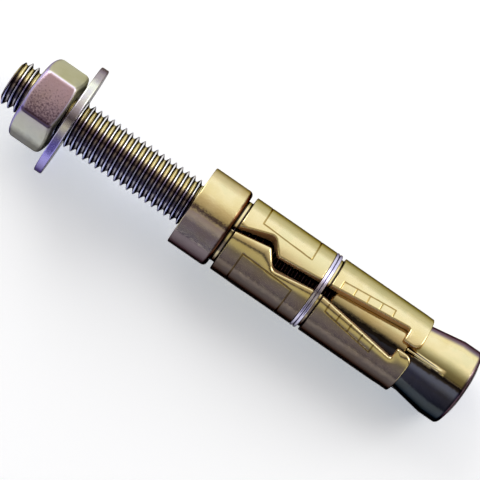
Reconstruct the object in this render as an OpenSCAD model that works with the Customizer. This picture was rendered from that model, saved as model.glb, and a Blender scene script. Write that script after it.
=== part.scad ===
// Shield-type expansion bolt with a projecting stud, hex nut and washer.
// The stud draws a coned expander into three shield segments, which swing outward from the ferrule.
// The axis is +X from the stud's tip to the expander. The origin is on the ferrule's outer face.

/* [Stud] */
// Nominal diameter of the thread
thread_d = 12; // [10:0.5:13]
// Amount by which the rolled crests stay under the nominal diameter
crest_allowance = 0.1; // [0:0.05:0.3]
// Length of stud that stands out of the ferrule
projection = 50.4; // [30:0.2:120]
// Length of the chamfer at each end of the stud
stud_chamfer_len = 0.8; // [0.2:0.1:2]
// Depth of that chamfer below the crests
stud_chamfer_depth = 1.3; // [0.3:0.1:2.5]
// Distance from the expander's end face in to the stud's lower end
tail_recess = 1.5; // [0.5:0.1:5]

/* [Nut] */
// Width of the nut across its flats
nut_af = 19; // [17:0.5:24]
// Height of the nut
nut_h = 9.6; // [6:0.1:14]
// Length of stud that shows past the nut
tip_show = 5.3; // [1:0.1:15]
// Slope of the chamfer on the nut's corners, in degrees
nut_chamfer = 30; // [15:1:40]
// Distance from the flats in to that chamfer's edge on the nut's outer face
nut_face_inset = 0.5; // [0.1:0.1:1.5]
// Depth of the countersink at each mouth of the nut's thread
nut_countersink = 0.7; // [0.2:0.1:1.2]

/* [Washer] */
// Outer diameter of the washer
washer_d = 28.5; // [24:0.5:40]
// Thickness of the washer
washer_t = 2; // [1:0.1:4]
// Amount by which the washer's hole is wider than the thread
washer_play = 1.6; // [0.6:0.1:2.4]
// Lean of the loose washer, its top towards the ferrule, in degrees
washer_lean = 3; // [0:0.5:6]
// Turn of the loose washer about the vertical, in degrees
washer_turn = 1; // [0:0.5:4]

/* [Ferrule] */
// Height of the ferrule's outside above the shield
ferrule_step = 0.35; // [0.1:0.05:1]
// Length of the ferrule
ferrule_len = 10.5; // [7:0.1:16]
// Wall of the ferrule
ferrule_wall = 1; // [0.6:0.1:1.4]
// Thickness of the lip turned in over the segments' necks
lip_t = 1.2; // [0.8:0.1:2]
// Depth of that lip below the ferrule's bore
lip_depth = 0.8; // [0.4:0.1:1]
// Rounding of the corner where the lip turns in
lip_round = 1.1; // [0.2:0.1:1.4]

/* [Shield] */
// Outer diameter of the shield
shield_d = 19.8; // [19:0.1:24]
// Length of the segments below their shoulder
body_len = 49.9; // [44:0.1:70]
// Length of neck that shows between the ferrule and the shoulder
neck_show = 1.2; // [0.5:0.1:2]
// Depth of the segments' heads below the ferrule's outer face
head_sink = 0.6; // [0.2:0.1:2]
// Play of a segment's head in the ferrule
head_play = 0.3; // [0.15:0.05:0.4]
// Gap between the stud and the segments' upper bore
stud_gap = 0.65; // [0.4:0.05:0.8]

/* [Seam] */
// Gap between two segments at their heads
slot_gap = 1.1; // [0.6:0.1:2]
// Distance from the shoulder to the crest of the zigzag
crest_x = 8.6; // [6:0.1:12]
// Height of the crest across the seam
crest_shift = 2.5; // [1:0.1:4]
// Gap between the segments at the crest
crest_gap = 2.9; // [1.5:0.1:4]
// Distance along the axis from the crest to the root of the zigzag
zigzag_len = 3; // [2:0.1:5]
// Depth of the root across the seam
root_shift = 1.7; // [0.5:0.1:3]
// Gap between the segments at the root
root_gap = 3.5; // [1.5:0.1:5]
// Offset along the axis between the two edges' corners
corner_skew = 0.35; // [0:0.05:1]
// Rounding of the zigzag's corners
zigzag_round = 0.8; // [0.2:0.1:1.2]
// Gap between the segments under the ring, where the wide slot starts
throat_gap = 2.7; // [1:0.1:4]
// Gap between the segments where the wide slot ends
vee_gap = 8.8; // [4:0.1:10]
// Rounding of the wide slot's corners at the feet
vee_round = 0.6; // [0.2:0.1:1.2]
// Length of the feet below the wide slot
foot_len = 4.4; // [2:0.1:8]
// Gap between neighbouring feet
foot_gap = 2.25; // [1.8:0.05:4]
// Rounding of the feet's corners at their ends
foot_round = 2.2; // [0.3:0.1:2.4]
// Offset of the seam's middle at the head and the feet
seam_offset = 0.35; // [0:0.05:1]
// Lean of the zigzag's walls away from the seam's middle plane, in degrees
zigzag_lean = 7; // [2:1:8]
// Lean of the wide slot's walls away from the seam's middle plane, in degrees
vee_lean = 10; // [4:1:14]

/* [Retaining ring] */
// Diameter of the ring's wire
wire_d = 0.8; // [0.5:0.1:1]
// Distance from the shoulder to the ring groove
groove_x = 22.3; // [18:0.1:26]
// Width of the ring groove
groove_w = 2.6; // [2.2:0.1:4]
// Height of the ring's outside above the shield
ring_proud = 0.1; // [0:0.05:0.3]
// Play of the ring on the groove's floor and wall, and between its turns
ring_play = 0.05; // [0.03:0.01:0.1]
// Angle over which the wire steps from one turn to the next, in degrees
ring_jog = 40; // [20:5:80]

/* [Expander] */
// Wall of the expander's stem at its tip
stem_wall = 0.9; // [0.5:0.1:1.2]
// Wall of the expander where its cone starts
cone_wall = 2; // [1.4:0.1:2.4]
// Length of the slim stem ahead of the cone
stem_len = 21; // [10:0.5:24]
// Length of the cone
cone_len = 10.8; // [8:0.2:16]
// Depth of the cone's start inside the feet
cone_seat = 2.1; // [0.5:0.1:4]
// Length of the rim behind the cone
rim_len = 5.5; // [3:0.1:12]
// Depth of the rim below the shield's outside
rim_step = 0.1; // [0:0.05:0.5]
// Depth of the dome on the expander's end
dome_depth = 0.85; // [0.2:0.05:1.5]
// Rounding of the edge between the rim and the dome
rim_round = 1; // [0.3:0.1:1.6]
// Gap between the expander and the segments
cone_gap = 0.25; // [0.15:0.05:0.4]
// Travel of the expander into the shield
draw = 8.5; // [4:0.5:10]
// Width of an anti-turn rib at its base
rib_base = 1.4; // [0.8:0.1:1.6]
// Width of an anti-turn rib at its top
rib_top = 0.5; // [0.2:0.05:0.6]
// Depth of the ribs' tops below the shield's outside
rib_step = 0.35; // [0.1:0.05:0.8]
// Length of rib inside the feet
rib_lead = 2.6; // [1:0.1:4]

/* [Clearance] */
// Radial clearance of the threaded bores on the stud
run_gap = 0.05; // [0.02:0.01:0.1]
// Gap left between faces that bear on each other
face_gap = 0.05; // [0.03:0.01:0.2]

/* [Hidden] */
$fn = 96;
segments = 3;
segment_angle = 360 / segments;
arc_steps = 5;
cut_past = 1;

stud_r = (thread_d - crest_allowance) / 2;
bore_r = stud_r + run_gap;
shield_r = shield_d / 2;

ferrule_r = shield_r + ferrule_step;
ferrule_bore_r = ferrule_r - ferrule_wall;
lip_r = ferrule_bore_r - lip_depth;
lip_x = ferrule_len - lip_t;

head_r = ferrule_bore_r - head_play;
neck_r = lip_r - head_play;
head_end_x = lip_x - head_play;
upper_bore_r = stud_r + stud_gap;
shoulder_x = ferrule_len + neck_show;
shield_end = shoulder_x + body_len;

crest_at = shoulder_x + crest_x;
root_at = crest_at + zigzag_len;
groove_start = shoulder_x + groove_x;
groove_end = groove_start + groove_w;
groove_middle = groove_start + groove_w / 2;
neck_middle = shoulder_x - neck_show / 2;
foot_start = shield_end - foot_len;
slot_offset = seam_offset / 2;
foot_offset = seam_offset * 1.5;
zone_lap = neck_show / 4;
prism_start = head_sink - cut_past;
prism_end = shield_end + face_gap;
prism_reach = 1.5 * shield_r;

ring_r = shield_r + ring_proud - wire_d / 2;
groove_r = ring_r - wire_d / 2 - ring_play;
ring_start_x = groove_start + ring_play + wire_d / 2;
ring_pitch = wire_d + ring_play;
ring_span = 720 - ring_jog;
ring_sides = 8;
ring_sections = 90;

cone_start = shield_end - cone_seat;
cone_end = cone_start + cone_len;
stem_start = cone_start - stem_len;
expander_end = cone_end + rim_len;
stem_r = bore_r + stem_wall;
cone_start_r = bore_r + cone_wall;
rim_r = shield_r - rim_step;
cone_slope = (rim_r - cone_start_r) / cone_len;
dome_r = bore_r + cone_wall / 2;
edge_break = stem_wall / 2;

pocket_start = stem_start - draw - edge_break;
pocket_lead = 2;
rib_r = shield_r - rib_step;
rib_root_r = cone_start_r - cone_wall / 4;
rib_end = cone_start + (rib_r - cone_start_r) / cone_slope + edge_break;

nut_r = nut_af / 2 / cos(30);
nut_x = tip_show - projection;
nut_bearing_x = nut_x + nut_h;
nut_face_r = nut_af / 2 - nut_face_inset;
nut_face_drop = (nut_r - nut_face_r) * tan(nut_chamfer);
nut_bearing_r = nut_af / 2;
nut_bearing_drop = (nut_r - nut_bearing_r) * tan(nut_chamfer);

washer_hole_r = (thread_d + washer_play) / 2;
washer_drop = washer_hole_r * cos(washer_lean) - washer_t / 2 * sin(washer_lean) - stud_r - face_gap;
washer_tilt = norm([washer_lean, washer_turn]);
washer_tilt_room = (nut_bearing_r + washer_drop) * tan(washer_tilt);
washer_x = nut_bearing_x + washer_t / 2 + washer_tilt_room + face_gap;

stud_tail = expander_end - tail_recess;

// Rounding of a polygon: each point is [x, y, radius], and a corner with a radius becomes an arc.
function unit(v) = v / norm(v);
function flat(p) = [p[0], p[1]];
function bearing(v) = atan2(v[1], v[0]);
function short_turn(a) = a > 180 ? a - 360 : a < -180 ? a + 360 : a;
function corner_arc(before, at, after, radius) =
    let (
        u = unit(before - at),
        w = unit(after - at),
        half = acos(u * w) / 2,
        reach = radius / tan(half),
        centre = at + unit(u + w) * radius / sin(half),
        from = bearing(at + u * reach - centre),
        sweep = short_turn(bearing(at + w * reach - centre) - from)
    )
    [
        for (i = [0 : arc_steps])
            centre + radius * [cos(from + sweep * i / arc_steps), sin(from + sweep * i / arc_steps)]
    ];
function rounded(points) =
    let (last = len(points) - 1)
    [
        for (i = [0 : last])
            let (
                at = flat(points[i]),
                before = flat(points[i == 0 ? last : i - 1]),
                after = flat(points[i == last ? 0 : i + 1]),
                radius = points[i][2]
            )
            each radius > 0 ? corner_arc(before, at, after, radius) : [at]
    ];

// A solid of revolution about +X from an outline of [x, radius] points.
module turned(outline) {
    rotate([0, 90, 0])
        rotate_extrude()
            polygon([for (p = outline) [p[1], p[0]]]);
}

// Turns what stands on +Z by an angle about the axis, towards +Y.
module around(angle) {
    rotate([-angle, 0, 0])
        children();
}

// Half a seam's outline on the shield's outside as [x, arc, corner radius], side 1 towards +Y,
// in three zones that lap a little under the ferrule and the ring.
function head_edge(side) = [
    [prism_start, side * slot_gap / 2 - slot_offset, 0],
    [neck_middle + zone_lap, side * slot_gap / 2 - slot_offset, 0]
];
function zigzag_edge(side) = [
    [neck_middle - zone_lap, side * slot_gap / 2 - slot_offset, 0],
    [crest_at - side * corner_skew, side * crest_gap / 2 + crest_shift, zigzag_round],
    [root_at - side * corner_skew, side * root_gap / 2 - root_shift, zigzag_round],
    [groove_middle + zone_lap, side * throat_gap / 2, 0]
];
function vee_edge(side) = [
    [groove_middle - zone_lap, side * throat_gap / 2, 0],
    [foot_start, side * vee_gap / 2 - seam_offset, vee_round],
    [foot_start, side * foot_gap / 2 - foot_offset, vee_round],
    [prism_end, side * foot_gap / 2 - foot_offset, foot_round]
];

// The space on one side of a zone of a seam, as a prism along the seam wall's own lean.
module zone_side(edge, side, lean) {
    far = side * 2 * shield_r;
    wall = [
        for (p = edge)
            [p[0], shield_r * sin(p[1] / shield_r * 180 / PI - side * lean), p[2]]
    ];
    first_x = edge[0][0];
    last_x = edge[len(edge) - 1][0];
    around(side * lean)
        translate([0, 0, -prism_reach])
            linear_extrude(2 * prism_reach)
                polygon(rounded(concat(wall, [[last_x, far, 0], [first_x, far, 0]])));
}

module seam_side(side) {
    zone_side(head_edge(side), side, 0);
    zone_side(zigzag_edge(side), side, zigzag_lean);
    zone_side(vee_edge(side), side, vee_lean);
}

module stud() {
    tip = -projection;
    color("#b9a24e")
        turned([
            [tip, 0],
            [tip, stud_r - stud_chamfer_depth],
            [tip + stud_chamfer_len, stud_r],
            [stud_tail - stud_chamfer_len, stud_r],
            [stud_tail, stud_r - stud_chamfer_depth],
            [stud_tail, 0]
        ]);
}

module nut() {
    mouth_r = bore_r + nut_countersink;
    color("#c3b3a0")
        difference() {
            intersection() {
                translate([nut_x, 0, 0])
                    rotate([0, 90, 0])
                        rotate([0, 0, 30])
                            cylinder(r = nut_r, h = nut_h, $fn = 6);
                turned([
                    [nut_x, 0],
                    [nut_x, nut_face_r],
                    [nut_x + nut_face_drop, nut_r],
                    [nut_bearing_x - nut_bearing_drop, nut_r],
                    [nut_bearing_x, nut_bearing_r],
                    [nut_bearing_x, 0]
                ]);
            }
            turned([
                [nut_x - cut_past, 0],
                [nut_x - cut_past, mouth_r],
                [nut_x, mouth_r],
                [nut_x + nut_countersink, bore_r],
                [nut_bearing_x - nut_countersink, bore_r],
                [nut_bearing_x, mouth_r],
                [nut_bearing_x + cut_past, mouth_r],
                [nut_bearing_x + cut_past, 0]
            ]);
        }
}

// The stud lies in the bottom of the washer's hole, so the washer sits a little high.
module washer() {
    color("#b7bca6")
        translate([washer_x, 0, washer_drop])
            rotate([0, washer_lean, washer_turn])
                turned([
                    [-washer_t / 2, washer_hole_r],
                    [-washer_t / 2, washer_d / 2],
                    [washer_t / 2, washer_d / 2],
                    [washer_t / 2, washer_hole_r]
                ]);
}

module ferrule() {
    color("#d8c98c")
        turned(rounded([
            [0, ferrule_bore_r, 0],
            [0, ferrule_r, 0],
            [ferrule_len, ferrule_r, lip_round],
            [ferrule_len, lip_r, 0],
            [lip_x, lip_r, 0],
            [lip_x, ferrule_bore_r, 0]
        ]));
}

// One ring round the stud and the expander, before the seams part it.
module shield_blank() {
    turned([
        [head_sink, upper_bore_r],
        [head_sink, head_r],
        [head_end_x, head_r],
        [head_end_x, neck_r],
        [shoulder_x, neck_r],
        [shoulder_x, shield_r],
        [groove_start, shield_r],
        [groove_start, groove_r],
        [groove_end, groove_r],
        [groove_end, shield_r],
        [shield_end, shield_r],
        [shield_end, cone_start_r + cone_slope * cone_seat + cone_gap],
        [cone_start, cone_start_r + cone_gap],
        [stem_start, stem_r + cone_gap],
        [pocket_start, stem_r + cone_gap],
        [pocket_start - pocket_lead, upper_bore_r]
    ]);
}

module segment(number) {
    color("#cdbf84")
        around((number - 1) * segment_angle)
            intersection() {
                shield_blank();
                seam_side(1);
                around(segment_angle)
                    seam_side(-1);
            }
}

// Wire wound twice round the groove, flat but for the jog from one turn to the next.
function wire_x(angle) =
    let (along = (angle - (360 - ring_jog)) / ring_jog)
    ring_start_x + ring_pitch * (along <= 0 ? 0 : along >= 1 ? 1 : (1 - cos(180 * along)) / 2);
function wire_section(angle) = [
    for (i = [0 : ring_sides - 1])
        let (
            turn = 360 * i / ring_sides,
            radius = ring_r + wire_d / 2 * cos(turn)
        )
        [wire_x(angle) + wire_d / 2 * sin(turn), radius * sin(angle), radius * cos(angle)]
];
module retaining_ring() {
    sections = [for (i = [0 : ring_sections]) each wire_section(180 + ring_span * i / ring_sections)];
    walls = [
        for (i = [0 : ring_sections - 1], k = [0 : ring_sides - 1])
            let (
                a = i * ring_sides + k,
                b = i * ring_sides + (k + 1) % ring_sides
            )
            each [[a, b, b + ring_sides], [a, b + ring_sides, a + ring_sides]]
    ];
    first = [for (k = [ring_sides - 1 : -1 : 0]) k];
    last = [for (k = [0 : ring_sides - 1]) ring_sections * ring_sides + k];
    color("#8f7f9a")
        polyhedron(sections, concat([first], walls, [last]));
}

module rib() {
    rotate([90, 0, 90])
        translate([0, 0, cone_start - rib_lead + cone_seat])
            linear_extrude(rib_end - cone_start + rib_lead - cone_seat)
                polygon([
                    [-rib_base / 2, rib_root_r],
                    [rib_base / 2, rib_root_r],
                    [rib_top / 2, rib_r],
                    [-rib_top / 2, rib_r]
                ]);
}

module expander() {
    seam_middle = -foot_offset / shield_r * 180 / PI;
    color("#a79668") {
        turned(rounded([
            [stem_start, bore_r, 0],
            [stem_start, stem_r - edge_break, 0],
            [stem_start + edge_break, stem_r, 0],
            [cone_start, cone_start_r, 0],
            [cone_end, rim_r, 0],
            [expander_end - dome_depth, rim_r, rim_round],
            [expander_end, dome_r, 0],
            [expander_end, bore_r + edge_break, 0],
            [expander_end - edge_break, bore_r, 0]
        ]));
        for (i = [0 : segments - 1])
            around(i * segment_angle + seam_middle)
                rib();
    }
}

stud();
nut();
washer();
ferrule();
segment(1);  // segment_1
segment(2);  // segment_2
segment(3);  // segment_3
retaining_ring();
expander();
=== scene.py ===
"""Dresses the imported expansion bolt: rounded plated pieces, a rolled thread and plain studio light."""
import math

import bpy
import bmesh
import numpy as np
from mathutils import Matrix, Vector


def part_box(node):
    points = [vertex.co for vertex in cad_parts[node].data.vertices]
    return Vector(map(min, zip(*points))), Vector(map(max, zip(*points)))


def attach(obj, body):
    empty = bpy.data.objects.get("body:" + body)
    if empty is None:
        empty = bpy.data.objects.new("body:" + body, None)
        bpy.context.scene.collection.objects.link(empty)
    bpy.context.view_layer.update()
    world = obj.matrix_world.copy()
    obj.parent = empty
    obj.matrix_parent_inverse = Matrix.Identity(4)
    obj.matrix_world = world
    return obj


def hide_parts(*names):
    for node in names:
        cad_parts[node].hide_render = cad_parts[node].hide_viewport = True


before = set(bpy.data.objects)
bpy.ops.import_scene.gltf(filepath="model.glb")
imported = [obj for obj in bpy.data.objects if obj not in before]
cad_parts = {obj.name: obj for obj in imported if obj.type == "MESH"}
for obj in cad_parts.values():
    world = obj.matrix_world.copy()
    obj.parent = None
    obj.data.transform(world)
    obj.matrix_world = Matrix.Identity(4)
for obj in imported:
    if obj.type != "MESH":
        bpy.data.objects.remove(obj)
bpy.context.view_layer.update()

# Sizes of the pieces are in millimetres, along the axis +X from the ferrule's outer face
MM = 0.001

# Stud, with the places along one pitch at which its thread is drawn
THREAD_R = 5.95
THREAD_PITCH = 1.75
THREAD_DEPTH = 1.07
THREAD_CREST = 1 / 16
THREAD_ROOT = 3 / 8
THREAD_BLEND = 0.06
THREAD_ANGLES = 72
THREAD_SHARES = np.array((
    -0.0625, -0.03, 0, 0.03, 0.0625, 0.17, 0.27, 0.375, 0.44, 0.5, 0.56, 0.625, 0.73, 0.83,
))
BORE_R = 6.0
STUD_TIP = -50.4
STUD_TAIL = 74.3
STUD_CHAMFER_LEN = 0.8
STUD_CHAMFER_DEPTH = 1.3

# Nut
NUT_X = -45.1
NUT_H = 9.6
NUT_AF = 19.0
NUT_FACE_INSET = 0.5
NUT_CHAMFER = math.radians(30)
NUT_CORNER_ROUND = 1.3
NUT_EDGE_ROUND = 0.8
NUT_COUNTERSINK = 0.7
COUNTERSINK_ANGLE = math.radians(45)
HEX_SIDES = 6
HEX_HALF = math.pi / HEX_SIDES

# Washer
WASHER_D = 28.5
WASHER_HOLE_D = 13.6
WASHER_T = 2.0
WASHER_EDGE = 0.35
WASHER_LEAN = math.radians(3)
WASHER_TURN = math.radians(1)

# Ferrule
FERRULE_R = 10.25
FERRULE_LEN = 10.5
FERRULE_WALL = 1.0
FERRULE_EDGE = 0.3
LIP_T = 1.2
LIP_DEPTH = 0.8
LIP_ROUND = 1.1

# Shield
SHIELD_R = 9.9
HEAD_SINK = 0.6
HEAD_PLAY = 0.3
HEAD_BORE_R = 6.6
SHOULDER_X = 11.7
SHOULDER_ROUND = 0.3
GROOVE_START = 34.0
GROOVE_END = 36.6
GROOVE_MIDDLE = (GROOVE_START + GROOVE_END) / 2
GROOVE_R = 9.15
GROOVE_EDGE = 0.12
POCKET_TAPER = 2
FOOT_START = 57.2
SHIELD_END = 61.6
END_ROUND = 0.35
SEGMENTS = 3
SEGMENT_ANGLE = 2 * math.pi / SEGMENTS
SEGMENT_ARC = SHIELD_R * SEGMENT_ANGLE

# Seams between the segments
SLOT_GAP = 1.1
CREST_X = 20.3
CREST_GAP = 2.9
CREST_SHIFT = 2.5
ROOT_X = 23.3
ROOT_GAP = 3.5
ROOT_SHIFT = 1.7
CORNER_SKEW = 0.35
TOOTH_ROUND = 0.7
NOTCH_ROUND = 1.5
THROAT_GAP = 2.7
VEE_GAP = 8.8
VEE_ROUND = 0.6
FOOT_GAP = 2.25
FOOT_ROUND = 2.2
SEAM_OFFSET = 0.35
FOOT_OFFSET = 1.5 * SEAM_OFFSET
OUTER_EDGE = 0.5
INNER_EDGE = 0.15

# Stamped lines, bevel and rolled edges on the segments
STAMP_DEPTH = 0.07
STAMP_WIDTH = 0.5
STAMP_SLANT = -0.045
STAMP_ATTRIBUTE = "stamp"
PANEL_START = 16.0
PANEL_END = 29.7
PANEL_INSET = 4.35
SCALE_START = 38.75
SCALE_END = 52.2
SCALE_MARKS = 5
SCALE_INSET = 2.4
MARK_INSET = 0.5
BEVEL_WIDTH = 1.8
BEVEL_LENGTH = 5.4
BEVEL_SLOPE = 0.38
BEVEL_ROOM = 1
ROLL_DEPTH = 0.45
ROLL_WIDTH = 2.9
ROLL_POWER = 3
ROLL_SPREAD = 6
LIFT_HEIGHT = 0.1

# Expander
CONE_START = 59.5
CONE_END = 70.3
STEM_START = 38.5
EXPANDER_END = 75.8
STEM_R = 6.9
CONE_START_R = 8.0
RIM_R = 9.8
CONE_GAP = 0.25
DRAW = 8.5
DOME_R = 7.0
DOME_DEPTH = 0.85
RIM_ROUND = 1.0
EDGE_BREAK = 0.45
RIB_BASE = 1.4
RIB_TOP = 0.5
RIB_R = 9.55
RIB_ROOT_R = 7.5
RIB_START = 59.0
RIB_END = 69.25
RIB_FILLET = 0.35

# Retaining ring
WIRE_D = 0.8
WIRE_R = 9.6
WIRE_X = 34.45
WIRE_PITCH = 0.85
WIRE_JOG = math.radians(40)
WIRE_SPAN = 4 * math.pi - WIRE_JOG
WIRE_PASSES = 3
ARC_LAP = math.radians(3.8)
LAP_THINNING = 0.96

# Fineness of the meshes
WELD = 1e-7
TINY = 1e-12
ARC_STEPS = 6
SLOPE_STEP = 0.004
LEAST_SLOPE = 0.05
SETTLE_PASSES = 3
SCULPT_STEP = 0.18
SCULPT_BAND = 3.5
SCULPT_ROOM = 1
SEAM_ROOM = 2
NUT_STEP = 1.4 * SCULPT_STEP
EXPANDER_STEP = 1.7 * SCULPT_STEP
WASHER_STEPS = 192
WASHER_SPACING = 0.5
FERRULE_STEPS = 240
FERRULE_SPACING = 0.4
WIRE_STATIONS = 40
WIRE_SIDES = 20


# Outlines and distances

def corner_arc(before, at, after, radius):
    """The arc that rounds the corner of an outline."""
    u = (before - at) / np.linalg.norm(before - at)
    w = (after - at) / np.linalg.norm(after - at)
    half = math.acos(float(np.clip(u @ w, -1, 1))) / 2
    reach = radius / math.tan(half)
    middle = (u + w) / np.linalg.norm(u + w)
    centre = at + middle * radius / math.sin(half)
    start = at + u * reach - centre
    stop = at + w * reach - centre
    first = math.atan2(start[1], start[0])
    sweep = math.remainder(math.atan2(stop[1], stop[0]) - first, 2 * math.pi)
    turns = first + sweep * np.linspace(0, 1, ARC_STEPS + 1)
    return [centre + radius * np.array([math.cos(t), math.sin(t)]) for t in turns]


def rounded(outline):
    """A closed outline of (x, y, corner radius) as plain points, its corners turned into arcs."""
    corners = [np.array(p[:2], float) for p in outline]
    points = []
    for i, corner in enumerate(corners):
        radius = outline[i][2]
        if radius > 0:
            points += corner_arc(corners[i - 1], corner, corners[(i + 1) % len(corners)], radius)
        else:
            points.append(corner)
    return np.array(points)


def outline_distance(px, py, outline):
    """Signed distance of points to a closed outline, negative inside."""
    nearest = np.full(px.shape, np.inf)
    inside = np.zeros(px.shape, bool)
    for a, b in zip(outline, np.roll(outline, -1, axis=0)):
        edge = b - a
        wx = px - a[0]
        wy = py - a[1]
        share = np.clip((wx * edge[0] + wy * edge[1]) / max(edge @ edge, TINY), 0, 1)
        nearest = np.minimum(nearest, (wx - edge[0] * share) ** 2 + (wy - edge[1] * share) ** 2)
        if a[1] != b[1]:
            crosses = (a[1] > py) != (b[1] > py)
            inside ^= crosses & (px < a[0] + edge[0] * (py - a[1]) / edge[1])
    return np.where(inside, -1, 1) * np.sqrt(nearest)


def round_both(a, b, radius):
    """Distance to what lies in both shapes, with the edge between them rounded."""
    over = np.hypot(np.maximum(radius + a, 0), np.maximum(radius + b, 0))
    return np.minimum(-radius, np.maximum(a, b)) + over


def round_either(a, b, radius):
    """Distance to what lies in either shape, with a fillet between them."""
    under = np.hypot(np.maximum(radius - a, 0), np.maximum(radius - b, 0))
    return np.maximum(radius, np.minimum(a, b)) - under


def off_axis(points):
    """How far points lie from the axis."""
    return np.hypot(points[:, 1], points[:, 2])


def angle_of(points):
    """The angle of points about the axis, from +Z towards +Y."""
    return np.arctan2(points[:, 1], points[:, 2])


# Meshes

def gradient(distance, points):
    """Direction in which a distance grows fastest, by small steps."""
    slopes = []
    for axis in np.eye(3):
        ahead = distance(points + axis * SLOPE_STEP)
        behind = distance(points - axis * SLOPE_STEP)
        slopes.append((ahead - behind) / (2 * SLOPE_STEP))
    return np.stack(slopes, axis=1)


def sampled(distance, low, counts, step):
    """A distance on a grid, exact near the surface and from a coarser grid elsewhere."""
    axes = [low[k] + step * np.arange(counts[k]) for k in range(3)]
    grid = np.stack(np.meshgrid(*axes, indexing="ij"), axis=-1)
    coarse = grid[::2, ::2, ::2]
    field = distance(coarse.reshape(-1, 3)).reshape(coarse.shape[:3])
    for axis in range(3):
        field = np.repeat(field, 2, axis=axis)
    near = np.abs(field) < SCULPT_BAND * step
    field[near] = distance(grid[near])
    return field


def cells_round(at, axis):
    """The four grid cells that meet at each of some grid edges along an axis, in turning order."""
    one, two = [k for k in range(3) if k != axis]
    ring = []
    for down_one, down_two in ((0, 0), (1, 0), (1, 1), (0, 1)):
        cell = at.copy()
        cell[:, one] -= down_one
        cell[:, two] -= down_two
        ring.append(tuple(cell.T))
    return ring


def settled(distance, points, step):
    """Points moved onto the surface where a distance is zero, with their normals."""
    for _ in range(SETTLE_PASSES):
        slope = gradient(distance, points)
        move = distance(points) / np.maximum((slope * slope).sum(axis=1), LEAST_SLOPE)
        points = points - slope * np.clip(move, -step, step)[:, None]
    normals = gradient(distance, points)
    return points, normals / np.linalg.norm(normals, axis=1)[:, None]


def sculpt(distance, low, high, step):
    """Points, faces and normals of the surface where a distance is zero, within a box."""
    low = np.array(low, float)
    counts = np.ceil((np.array(high) - low) / step / 2).astype(int) * 2 + 2
    field = sampled(distance, low, counts, step)
    cells = counts - 1
    total = np.zeros((*cells, 3))
    crossings = np.zeros(cells)
    rings = []
    for axis in range(3):
        before = np.take(field, range(counts[axis] - 1), axis)
        after = np.take(field, range(1, counts[axis]), axis)
        at = np.argwhere((before < 0) != (after < 0))
        first = before[tuple(at.T)]
        share = first / (first - after[tuple(at.T)])
        point = low + step * (at + share[:, None] * np.eye(3)[axis])
        ring = cells_round(at, axis)
        for cell in ring:
            np.add.at(total, cell, point)
            np.add.at(crossings, cell, 1)
        outward = (first < 0) != (axis == 1)
        rings.append((ring, outward))

    used = crossings > 0
    number = np.full(cells, -1)
    number[used] = np.arange(used.sum())
    faces = []
    for ring, outward in rings:
        quads = np.stack([number[cell] for cell in ring], axis=1)
        quads[~outward] = quads[~outward][:, ::-1]
        faces.append(quads)
    points, normals = settled(distance, total[used] / crossings[used][:, None], step)
    return points, np.concatenate(faces), normals


def around(points, angle):
    """Points turned about the axis, from +Z towards +Y."""
    c = math.cos(angle)
    s = math.sin(angle)
    turn = np.array([[1, 0, 0], [0, c, s], [0, -s, c]])
    return points @ turn.T


def spaced(outline, spacing):
    """A closed outline with its long edges split, so that shading stays true beside its arcs."""
    points = []
    for a, b in zip(outline, np.roll(outline, -1, axis=0)):
        pieces = max(1, math.ceil(np.linalg.norm(b - a) / spacing))
        points += [a + (b - a) * i / pieces for i in range(pieces)]
    return np.array(points)


def turned(outline, steps, spacing):
    """Points and faces of a closed outline of (x, radius) swept round the axis."""
    profile = spaced(outline, spacing)
    turns = np.linspace(0, 2 * math.pi, steps, endpoint=False)
    rows = len(profile)
    points = np.concatenate([
        np.stack([profile[:, 0], profile[:, 1] * math.sin(t), profile[:, 1] * math.cos(t)], axis=1)
        for t in turns
    ])
    faces = []
    for j in range(steps):
        here = j * rows
        there = (j + 1) % steps * rows
        for i in range(rows):
            after = (i + 1) % rows
            faces.append((here + i, here + after, there + after, there + i))
    return points, faces


def close_shell(mesh):
    """Joins points that meet, drops what is flat, closes open ends and turns the faces outward."""
    shell = bmesh.new()
    shell.from_mesh(mesh)
    bmesh.ops.remove_doubles(shell, verts=shell.verts, dist=WELD)
    bmesh.ops.dissolve_degenerate(shell, dist=WELD, edges=shell.edges)
    bmesh.ops.holes_fill(shell, edges=[e for e in shell.edges if e.is_boundary], sides=0)
    bmesh.ops.recalc_face_normals(shell, faces=shell.faces)
    shell.to_mesh(mesh)
    shell.free()


def add_piece(name, points, faces, body, material, node, normals=None, marks=None):
    """A mesh piece that stands for a CAD node and rides on a body."""
    mesh = bpy.data.meshes.new(name)
    mesh.from_pydata((np.asarray(points) * MM).tolist(), [], [list(map(int, face)) for face in faces])
    mesh.shade_smooth()
    if normals is None:
        close_shell(mesh)
    else:
        mesh.normals_split_custom_set_from_vertices(normals.tolist())
    if marks is not None:
        mesh.attributes.new(STAMP_ATTRIBUTE, "FLOAT", "POINT").data.foreach_set("value", marks)
    mesh.materials.append(material)
    piece = bpy.data.objects.new(name, mesh)
    bpy.context.scene.collection.objects.link(piece)
    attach(piece, body)
    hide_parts(node)


# Shapes of the pieces

def thread_depth_at(share):
    """Depth below the crest at a share of the pitch, with a rounded crest and root."""
    away = abs(share - round(share))
    if away <= THREAD_CREST:
        return THREAD_BLEND * (away / THREAD_CREST) ** 2
    if away >= THREAD_ROOT:
        return THREAD_DEPTH - THREAD_BLEND * ((0.5 - away) / (0.5 - THREAD_ROOT)) ** 2
    flank = (away - THREAD_CREST) / (THREAD_ROOT - THREAD_CREST)
    return THREAD_BLEND + (THREAD_DEPTH - 2 * THREAD_BLEND) * flank


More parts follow.
